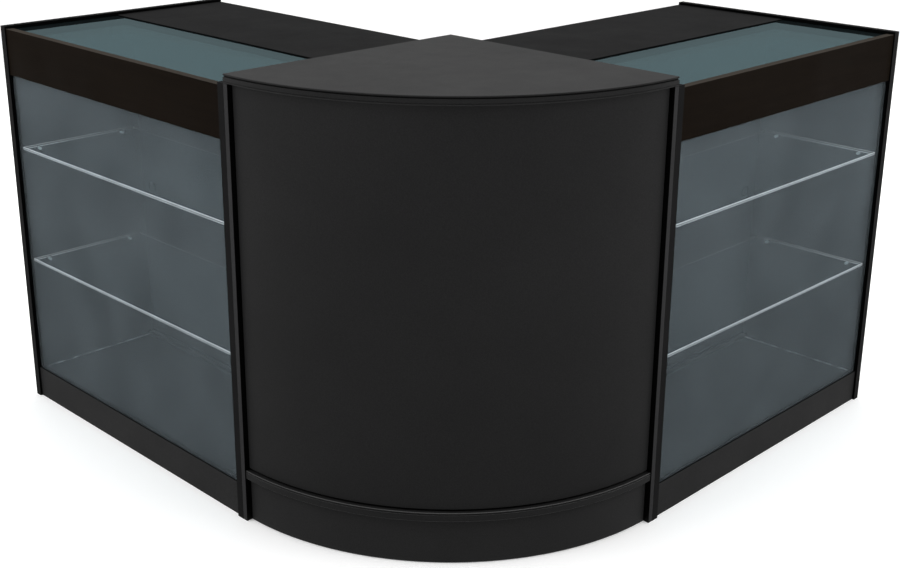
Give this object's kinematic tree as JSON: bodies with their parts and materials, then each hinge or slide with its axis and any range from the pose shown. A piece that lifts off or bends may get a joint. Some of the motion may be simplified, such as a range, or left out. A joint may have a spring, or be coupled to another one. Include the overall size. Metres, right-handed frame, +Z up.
{
  "type": "checkout counter",
  "caption": "L-shaped shop counter: glazed display wings with glass shelves, a deep header and rear sliding doors, joined by a closed quadrant with a curved front.",
  "frame": {"origin": "middle of the footprint, on the floor", "axes": "+Z up; the customer side faces -X and -Y; the right wing runs along +X and the left wing along +Y; the quadrant stands in the -X -Y corner"},
  "size_m": [1.45, 1.45, 0.938],
  "materials": {
    "laminate": "fine-textured charcoal melamine on chipboard, satin",
    "end_laminate": "fine-textured charcoal melamine on chipboard with a black edge band, satin",
    "corner_top": "fine-textured dark grey laminate on chipboard, satin",
    "curved_front": "fine-textured charcoal laminate on bent board, satin",
    "header": "brown-black laminate on chipboard, satin",
    "top_glass": "toughened glass, faint teal tint",
    "front_glass": "toughened glass, grey-blue tint",
    "shelf_glass": "clear glass with polished bright edges",
    "track": "extruded black plastic",
    "door": "black-faced thin board, satin",
    "cup": "black-nickel plated, satin",
    "pin": "nickel-plated steel"
  },
  "bodies": {
    "counter": {"left_bottom_deck": "laminate", "left_rear_plinth": "laminate", "left_rear_worktop": "laminate", "left_front_plinth": "laminate", "left_header_fascia": "header", "left_glass_rail": "laminate", "left_top_glass": "top_glass", "left_front_glass": "front_glass", "left_inner_end_panel": "end_laminate", "left_outer_end_panel": "end_laminate", "left_upper_shelf": "shelf_glass", "left_lower_shelf": "shelf_glass", "left_upper_door_track": "track", "left_lower_door_track": "track", "left_upper_front_inner_shelf_pin": "pin", "left_upper_front_outer_shelf_pin": "pin", "left_upper_back_inner_shelf_pin": "pin", "left_upper_back_outer_shelf_pin": "pin", "left_lower_front_inner_shelf_pin": "pin", "left_lower_front_outer_shelf_pin": "pin", "left_lower_back_inner_shelf_pin": "pin", "left_lower_back_outer_shelf_pin": "pin", "right_bottom_deck": "laminate", "right_rear_plinth": "laminate", "right_rear_worktop": "laminate", "right_front_plinth": "laminate", "right_header_fascia": "header", "right_glass_rail": "laminate", "right_top_glass": "top_glass", "right_front_glass": "front_glass", "right_inner_end_panel": "end_laminate", "right_outer_end_panel": "end_laminate", "right_upper_shelf": "shelf_glass", "right_lower_shelf": "shelf_glass", "right_upper_door_track": "track", "right_lower_door_track": "track", "right_upper_front_inner_shelf_pin": "pin", "right_upper_front_outer_shelf_pin": "pin", "right_upper_back_inner_shelf_pin": "pin", "right_upper_back_outer_shelf_pin": "pin", "right_lower_front_inner_shelf_pin": "pin", "right_lower_front_outer_shelf_pin": "pin", "right_lower_back_inner_shelf_pin": "pin", "right_lower_back_outer_shelf_pin": "pin", "corner_left_side_panel": "end_laminate", "corner_right_side_panel": "end_laminate", "corner_top": "corner_top", "corner_deck": "laminate", "corner_rib": "laminate", "corner_curved_front": "curved_front", "corner_curved_plinth": "curved_front"},
    "left_inner_door": {"left_inner_door": "door", "left_inner_door_cup": "cup"},
    "left_outer_door": {"left_outer_door": "door", "left_outer_door_cup": "cup"},
    "right_inner_door": {"right_inner_door": "door", "right_inner_door_cup": "cup"},
    "right_outer_door": {"right_outer_door": "door", "right_outer_door_cup": "cup"}
  },
  "joints": [
    {"name": "left_inner_door_slide", "type": "slide", "parent": "counter", "child": "left_inner_door", "axis": [0, 1, 0], "range_m": [0, 0.384]},
    {"name": "left_outer_door_slide", "type": "slide", "parent": "counter", "child": "left_outer_door", "axis": [0, 1, 0], "range_m": [-0.384, 0]},
    {"name": "right_inner_door_slide", "type": "slide", "parent": "counter", "child": "right_inner_door", "axis": [1, 0, 0], "range_m": [0, 0.384]},
    {"name": "right_outer_door_slide", "type": "slide", "parent": "counter", "child": "right_outer_door", "axis": [1, 0, 0], "range_m": [-0.384, 0]}
  ]
}
